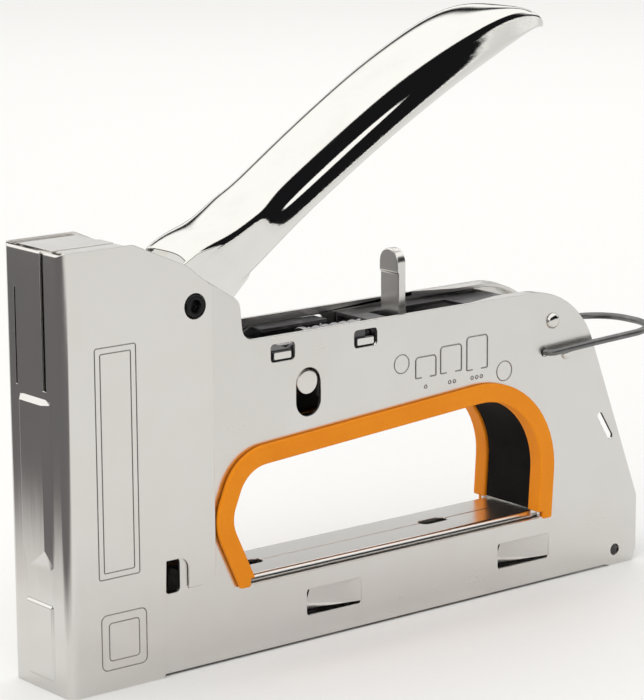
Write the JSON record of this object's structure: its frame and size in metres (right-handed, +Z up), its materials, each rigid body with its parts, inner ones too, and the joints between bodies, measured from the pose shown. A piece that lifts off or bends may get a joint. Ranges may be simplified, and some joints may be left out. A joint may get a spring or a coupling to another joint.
{
  "type": "staple gun",
  "caption": "Hand staple gun: pressed steel body with a closed grip opening, hinged squeeze handle, spring striker, force adjuster, wire handle lock and pull-out staple magazine.",
  "frame": {"origin": "under the middle of the whole tool, on the surface that the nose and the rear foot stand on", "axes": "+X from the nose towards the rear, +Y towards the right side plate, +Z up"},
  "size_m": [0.2116, 0.0316, 0.1663],
  "materials": {
    "plated_steel": "nickel-plated pressed steel, fine satin brushing",
    "cover_steel": "nickel-plated pressed steel, brighter on the folded front",
    "chrome": "polished chrome",
    "dark_steel": "dark phosphated steel",
    "spring_steel": "plain spring steel",
    "black_oxide": "black oxide",
    "dark_wire": "dark grey coated spring wire",
    "orange_plastic": "orange moulded plastic, satin",
    "black_rubber": "black rubber",
    "staple_wire": "galvanised staple wire"
  },
  "bodies": {
    "frame": {"left_side_plate": "plated_steel", "right_side_plate": "plated_steel", "nose_cover": "cover_steel", "striker_guide": "plated_steel", "nose_top_left": "plated_steel", "nose_top_right": "plated_steel", "lever_pivot_pin": "spring_steel", "spring_housing": "dark_steel", "main_spring": "spring_steel", "handle_pivot_pin": "black_oxide", "handle_return_spring": "spring_steel", "grip_trim_left": "orange_plastic", "grip_trim_right": "orange_plastic", "grip_liner": "black_rubber", "beam_rail_left": "plated_steel", "beam_rail_right": "plated_steel", "rear_rivet_upper": "plated_steel", "rear_rivet_lower": "plated_steel", "rear_spacer": "spring_steel", "magazine_channel": "spring_steel"},
    "handle": {"handle": "chrome"},
    "striker": {"striker_blade": "spring_steel", "striker_head": "spring_steel"},
    "drive_lever": {"drive_lever": "dark_steel", "lever_guide_pin": "plated_steel"},
    "spring_rod": {"spring_rod": "spring_steel"},
    "force_adjuster": {"force_adjuster": "plated_steel"},
    "lock_bail": {"lock_bail": "dark_wire"},
    "magazine": {"magazine_core": "spring_steel", "pusher_rod": "spring_steel", "pusher_spring": "spring_steel", "magazine_grip": "dark_steel", "staple_stick": "staple_wire"},
    "pusher": {"pusher": "orange_plastic"}
  },
  "joints": [
    {"name": "handle_swing", "type": "hinge", "parent": "frame", "child": "handle", "pos_m": [-0.06378, 0, 0.09697], "axis": [0, 1, 0], "range_deg": [0, 33], "stiffness_Nm_per_rad": 1.2, "springref_deg": -22.92, "deforming": ["handle_return_spring"]},
    {"name": "striker_lift", "type": "slide", "parent": "frame", "child": "striker", "axis": [0, 0, 1], "range_m": [0, 0.01312]},
    {"name": "drive_lever_rock", "type": "hinge", "parent": "frame", "child": "drive_lever", "pos_m": [-0.04683, 0, 0.06895], "axis": [0, 1, 0], "range_deg": [0, 15.2]},
    {"name": "spring_rod_slide", "type": "slide", "parent": "frame", "child": "spring_rod", "axis": [1, 0, 0], "range_m": [0, 0.0027], "deforming": ["main_spring"]},
    {"name": "force_adjuster_slide", "type": "slide", "parent": "frame", "child": "force_adjuster", "axis": [1, 0, 0], "range_m": [0, 0.0186]},
    {"name": "lock_bail_swing", "type": "hinge", "parent": "frame", "child": "lock_bail", "pos_m": [0.05887, 0, 0.068], "axis": [0, -1, 0], "range_deg": [-32, 120]},
    {"name": "magazine_slide", "type": "slide", "parent": "frame", "child": "magazine", "axis": [1, 0, 0], "range_m": [0, 0.06]},
    {"name": "pusher_slide", "type": "slide", "parent": "magazine", "child": "pusher", "axis": [1, 0, 0], "range_m": [0, 0.06], "stiffness_N_per_m": 12, "springref_m": -0.05, "deforming": ["pusher_spring"]}
  ],
  "couplings": [
    {"joint": "striker_lift", "follows": "handle_swing", "m_per_rad": 0.022437},
    {"joint": "drive_lever_rock", "follows": "handle_swing", "ratio": 0.45457},
    {"joint": "spring_rod_slide", "follows": "handle_swing", "m_per_rad": 0.004471}
  ]
}
